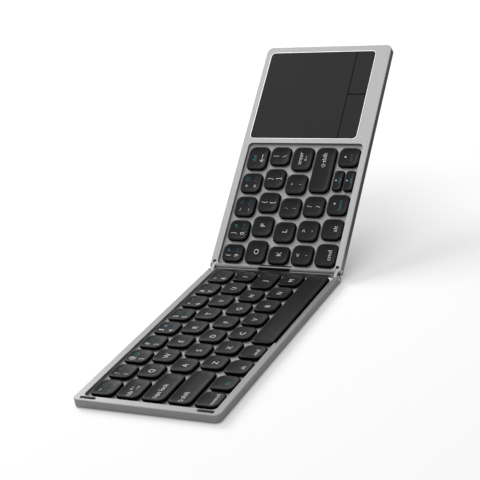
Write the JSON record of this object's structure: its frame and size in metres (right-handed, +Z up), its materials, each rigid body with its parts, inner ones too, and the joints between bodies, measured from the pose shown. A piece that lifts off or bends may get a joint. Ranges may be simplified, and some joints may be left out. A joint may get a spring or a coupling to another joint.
{
  "type": "folding keyboard",
  "caption": "Thin two-part keyboard that folds in the middle on a double-pivot hinge, with dark dished keys in recessed wells and a touchpad beside the keys.",
  "frame": {"origin": "on the surface the left half stands on, midway along the half-open keyboard and midway through its depth", "axes": "+X to the typist's right, +Y towards the number row, +Z up"},
  "size_m": [0.313, 0.095, 0.1175],
  "materials": {
    "alloy": "fine bead-blasted silver anodised",
    "deck_steel": "satin silver",
    "board": "green solder mask",
    "rubber": "matte",
    "screw_steel": "plain",
    "pin_steel": "polished ends",
    "link_steel": "satin",
    "dark_alloy": "dark anodised",
    "cable_cover": "matte black sleeve",
    "pad_glass": "dark, finely frosted",
    "pad_button": "dark matte",
    "keycap": "satin black",
    "battery": "foil pouch",
    "port_steel": "drawn sheet"
  },
  "bodies": {
    "left_half": {"left_frame": "alloy", "left_deck": "deck_steel", "left_cover": "alloy", "left_board": "board", "left_feet": "rubber", "left_bumpers": "rubber", "left_screws": "screw_steel", "left_pins": "pin_steel"},
    "hinge_link": {"spine": "dark_alloy", "end_links": "link_steel", "cable_cover": "cable_cover"},
    "right_half": {"right_frame": "alloy", "right_deck": "deck_steel", "right_cover": "alloy", "right_board": "board", "right_feet": "rubber", "right_screws": "screw_steel", "right_pins": "pin_steel", "touchpad_glass": "pad_glass", "touchpad_board": "board", "battery": "battery", "charging_port": "port_steel"},
    "button_near": {"button_near": "pad_button"},
    "button_far": {"button_far": "pad_button"},
    "key_grave": {"key_grave": "keycap"},
    "keys_digits": {"keys_digits": "keycap"},
    "key_tab": {"key_tab": "keycap"},
    "keys_upper_letters": {"keys_upper_letters": "keycap"},
    "key_caps": {"key_caps": "keycap"},
    "keys_home_letters": {"keys_home_letters": "keycap"},
    "key_shift_left": {"key_shift_left": "keycap"},
    "keys_lower_letters": {"keys_lower_letters": "keycap"},
    "key_space": {"key_space": "keycap"},
    "keys_modifiers": {"keys_modifiers": "keycap"},
    "key_9": {"key_9": "keycap"},
    "key_0": {"key_0": "keycap"},
    "key_minus": {"key_minus": "keycap"},
    "key_equals": {"key_equals": "keycap"},
    "key_delete": {"key_delete": "keycap"},
    "key_o": {"key_o": "keycap"},
    "key_p": {"key_p": "keycap"},
    "key_bracket_open": {"key_bracket_open": "keycap"},
    "key_bracket_shut": {"key_bracket_shut": "keycap"},
    "key_backslash": {"key_backslash": "keycap"},
    "key_k": {"key_k": "keycap"},
    "key_l": {"key_l": "keycap"},
    "key_semicolon": {"key_semicolon": "keycap"},
    "key_quote": {"key_quote": "keycap"},
    "key_enter": {"key_enter": "keycap"},
    "key_comma": {"key_comma": "keycap"},
    "key_period": {"key_period": "keycap"},
    "key_slash": {"key_slash": "keycap"},
    "key_shift_right": {"key_shift_right": "keycap"},
    "key_command": {"key_command": "keycap"},
    "key_alt": {"key_alt": "keycap"},
    "key_arrow_left": {"key_arrow_left": "keycap"},
    "key_arrow_up": {"key_arrow_up": "keycap"},
    "key_arrow_down": {"key_arrow_down": "keycap"},
    "key_arrow_right": {"key_arrow_right": "keycap"}
  },
  "joints": [
    {"name": "fold_left", "type": "hinge", "parent": "left_half", "child": "hinge_link", "pos_m": [0.01666, 0, 0.0031], "axis": [0, -1, 0], "range_deg": [-28.5, 61.5]},
    {"name": "fold_right", "type": "hinge", "parent": "hinge_link", "child": "right_half", "pos_m": [0.0222, 0, 0.00611], "axis": [0, -1, 0], "range_deg": [-11, 79]},
    {"name": "click_near", "type": "slide", "parent": "right_half", "child": "button_near", "axis": [-0.6361, 0, 0.7716], "range_m": [-0.0003, 0], "stiffness_N_per_m": 1500, "springref_m": 0.0002},
    {"name": "click_far", "type": "slide", "parent": "right_half", "child": "button_far", "axis": [-0.6361, 0, 0.7716], "range_m": [-0.0003, 0], "stiffness_N_per_m": 1500, "springref_m": 0.0002},
    {"name": "press_space", "type": "slide", "parent": "left_half", "child": "key_space", "axis": [0, 0, 1], "range_m": [-0.001, 0], "stiffness_N_per_m": 500, "springref_m": 0.0005},
    {"name": "press_enter", "type": "slide", "parent": "right_half", "child": "key_enter", "axis": [-0.6361, 0, 0.7716], "range_m": [-0.001, 0], "stiffness_N_per_m": 500, "springref_m": 0.0005},
    {"name": "press_shift_left", "type": "slide", "parent": "left_half", "child": "key_shift_left", "axis": [0, 0, 1], "range_m": [-0.001, 0], "stiffness_N_per_m": 500, "springref_m": 0.0005},
    {"name": "press_tab", "type": "slide", "parent": "left_half", "child": "key_tab", "axis": [0, 0, 1], "range_m": [-0.001, 0], "stiffness_N_per_m": 500, "springref_m": 0.0005},
    {"name": "press_caps", "type": "slide", "parent": "left_half", "child": "key_caps", "axis": [0, 0, 1], "range_m": [-0.001, 0], "stiffness_N_per_m": 500, "springref_m": 0.0005},
    {"name": "press_grave", "type": "slide", "parent": "left_half", "child": "key_grave", "axis": [0, 0, 1], "range_m": [-0.001, 0], "stiffness_N_per_m": 500, "springref_m": 0.0005},
    {"name": "press_digits", "type": "slide", "parent": "left_half", "child": "keys_digits", "axis": [0, 0, 1], "range_m": [-0.001, 0], "stiffness_N_per_m": 500, "springref_m": 0.0005},
    {"name": "press_upper_letters", "type": "slide", "parent": "left_half", "child": "keys_upper_letters", "axis": [0, 0, 1], "range_m": [-0.001, 0], "stiffness_N_per_m": 500, "springref_m": 0.0005},
    {"name": "press_home_letters", "type": "slide", "parent": "left_half", "child": "keys_home_letters", "axis": [0, 0, 1], "range_m": [-0.001, 0], "stiffness_N_per_m": 500, "springref_m": 0.0005},
    {"name": "press_lower_letters", "type": "slide", "parent": "left_half", "child": "keys_lower_letters", "axis": [0, 0, 1], "range_m": [-0.001, 0], "stiffness_N_per_m": 500, "springref_m": 0.0005},
    {"name": "press_modifiers", "type": "slide", "parent": "left_half", "child": "keys_modifiers", "axis": [0, 0, 1], "range_m": [-0.001, 0], "stiffness_N_per_m": 500, "springref_m": 0.0005},
    {"name": "press_9", "type": "slide", "parent": "right_half", "child": "key_9", "axis": [-0.6361, 0, 0.7716], "range_m": [-0.001, 0], "stiffness_N_per_m": 500, "springref_m": 0.0005},
    {"name": "press_0", "type": "slide", "parent": "right_half", "child": "key_0", "axis": [-0.6361, 0, 0.7716], "range_m": [-0.001, 0], "stiffness_N_per_m": 500, "springref_m": 0.0005},
    {"name": "press_minus", "type": "slide", "parent": "right_half", "child": "key_minus", "axis": [-0.6361, 0, 0.7716], "range_m": [-0.001, 0], "stiffness_N_per_m": 500, "springref_m": 0.0005},
    {"name": "press_equals", "type": "slide", "parent": "right_half", "child": "key_equals", "axis": [-0.6361, 0, 0.7716], "range_m": [-0.001, 0], "stiffness_N_per_m": 500, "springref_m": 0.0005},
    {"name": "press_delete", "type": "slide", "parent": "right_half", "child": "key_delete", "axis": [-0.6361, 0, 0.7716], "range_m": [-0.001, 0], "stiffness_N_per_m": 500, "springref_m": 0.0005},
    {"name": "press_o", "type": "slide", "parent": "right_half", "child": "key_o", "axis": [-0.6361, 0, 0.7716], "range_m": [-0.001, 0], "stiffness_N_per_m": 500, "springref_m": 0.0005},
    {"name": "press_p", "type": "slide", "parent": "right_half", "child": "key_p", "axis": [-0.6361, 0, 0.7716], "range_m": [-0.001, 0], "stiffness_N_per_m": 500, "springref_m": 0.0005},
    {"name": "press_bracket_open", "type": "slide", "parent": "right_half", "child": "key_bracket_open", "axis": [-0.6361, 0, 0.7716], "range_m": [-0.001, 0], "stiffness_N_per_m": 500, "springref_m": 0.0005},
    {"name": "press_bracket_shut", "type": "slide", "parent": "right_half", "child": "key_bracket_shut", "axis": [-0.6361, 0, 0.7716], "range_m": [-0.001, 0], "stiffness_N_per_m": 500, "springref_m": 0.0005},
    {"name": "press_backslash", "type": "slide", "parent": "right_half", "child": "key_backslash", "axis": [-0.6361, 0, 0.7716], "range_m": [-0.001, 0], "stiffness_N_per_m": 500, "springref_m": 0.0005},
    {"name": "press_k", "type": "slide", "parent": "right_half", "child": "key_k", "axis": [-0.6361, 0, 0.7716], "range_m": [-0.001, 0], "stiffness_N_per_m": 500, "springref_m": 0.0005},
    {"name": "press_l", "type": "slide", "parent": "right_half", "child": "key_l", "axis": [-0.6361, 0, 0.7716], "range_m": [-0.001, 0], "stiffness_N_per_m": 500, "springref_m": 0.0005},
    {"name": "press_semicolon", "type": "slide", "parent": "right_half", "child": "key_semicolon", "axis": [-0.6361, 0, 0.7716], "range_m": [-0.001, 0], "stiffness_N_per_m": 500, "springref_m": 0.0005},
    {"name": "press_quote", "type": "slide", "parent": "right_half", "child": "key_quote", "axis": [-0.6361, 0, 0.7716], "range_m": [-0.001, 0], "stiffness_N_per_m": 500, "springref_m": 0.0005},
    {"name": "press_comma", "type": "slide", "parent": "right_half", "child": "key_comma", "axis": [-0.6361, 0, 0.7716], "range_m": [-0.001, 0], "stiffness_N_per_m": 500, "springref_m": 0.0005},
    {"name": "press_period", "type": "slide", "parent": "right_half", "child": "key_period", "axis": [-0.6361, 0, 0.7716], "range_m": [-0.001, 0], "stiffness_N_per_m": 500, "springref_m": 0.0005},
    {"name": "press_slash", "type": "slide", "parent": "right_half", "child": "key_slash", "axis": [-0.6361, 0, 0.7716], "range_m": [-0.001, 0], "stiffness_N_per_m": 500, "springref_m": 0.0005},
    {"name": "press_shift_right", "type": "slide", "parent": "right_half", "child": "key_shift_right", "axis": [-0.6361, 0, 0.7716], "range_m": [-0.001, 0], "stiffness_N_per_m": 500, "springref_m": 0.0005},
    {"name": "press_command", "type": "slide", "parent": "right_half", "child": "key_command", "axis": [-0.6361, 0, 0.7716], "range_m": [-0.001, 0], "stiffness_N_per_m": 500, "springref_m": 0.0005},
    {"name": "press_alt", "type": "slide", "parent": "right_half", "child": "key_alt", "axis": [-0.6361, 0, 0.7716], "range_m": [-0.001, 0], "stiffness_N_per_m": 500, "springref_m": 0.0005},
    {"name": "press_arrow_left", "type": "slide", "parent": "right_half", "child": "key_arrow_left", "axis": [-0.6361, 0, 0.7716], "range_m": [-0.001, 0], "stiffness_N_per_m": 500, "springref_m": 0.0005},
    {"name": "press_arrow_up", "type": "slide", "parent": "right_half", "child": "key_arrow_up", "axis": [-0.6361, 0, 0.7716], "range_m": [-0.001, 0], "stiffness_N_per_m": 500, "springref_m": 0.0005},
    {"name": "press_arrow_down", "type": "slide", "parent": "right_half", "child": "key_arrow_down", "axis": [-0.6361, 0, 0.7716], "range_m": [-0.001, 0], "stiffness_N_per_m": 500, "springref_m": 0.0005},
    {"name": "press_arrow_right", "type": "slide", "parent": "right_half", "child": "key_arrow_right", "axis": [-0.6361, 0, 0.7716], "range_m": [-0.001, 0], "stiffness_N_per_m": 500, "springref_m": 0.0005}
  ]
}
